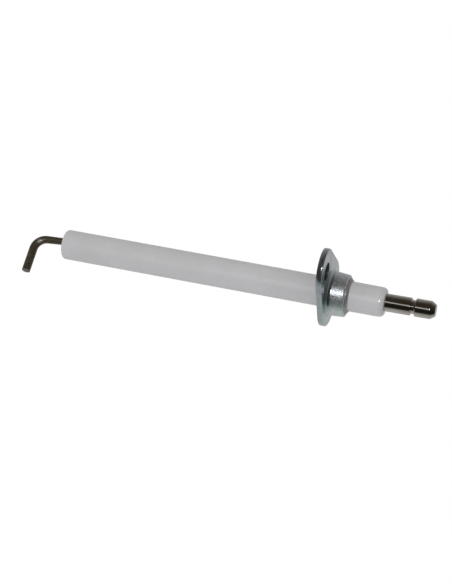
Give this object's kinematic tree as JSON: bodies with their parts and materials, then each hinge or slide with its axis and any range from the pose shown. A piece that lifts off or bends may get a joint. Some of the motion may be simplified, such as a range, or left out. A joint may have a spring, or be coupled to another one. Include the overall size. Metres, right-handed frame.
{
  "type": "ignition electrode",
  "caption": "Burner ignition electrode: bent spark wire in a long ceramic insulator with a collared mounting flange and a push-on terminal pin.",
  "frame": {"origin": "where the insulator's axis meets the front face of the flange, the face that seats on the burner plate", "axes": "+X along the insulator from the spark tip to the terminal pin; +Z from the insulator's axis towards the flange's screw hole; the spark tip is turned towards -Y"},
  "size_m": [0.1534, 0.0259, 0.0367],
  "materials": {
    "alumina": "fired alumina, matte white",
    "oxidised_wire": "heat-resistant alloy, oxidised brown-black",
    "nickel_plate": "turned and nickel plated",
    "cement": "matte refractory cement",
    "zinc_plate": "stamped steel, bright blue zinc plating",
    "sleeve_steel": "dull grey steel"
  },
  "bodies": {
    "root": {"ceramic_insulator": "alumina", "electrode_wire": "oxidised_wire", "terminal_stud": "nickel_plate", "terminal_cement": "cement", "mounting_flange": "zinc_plate", "clamping_sleeve": "sleeve_steel"}
  },
  "joints": []
}
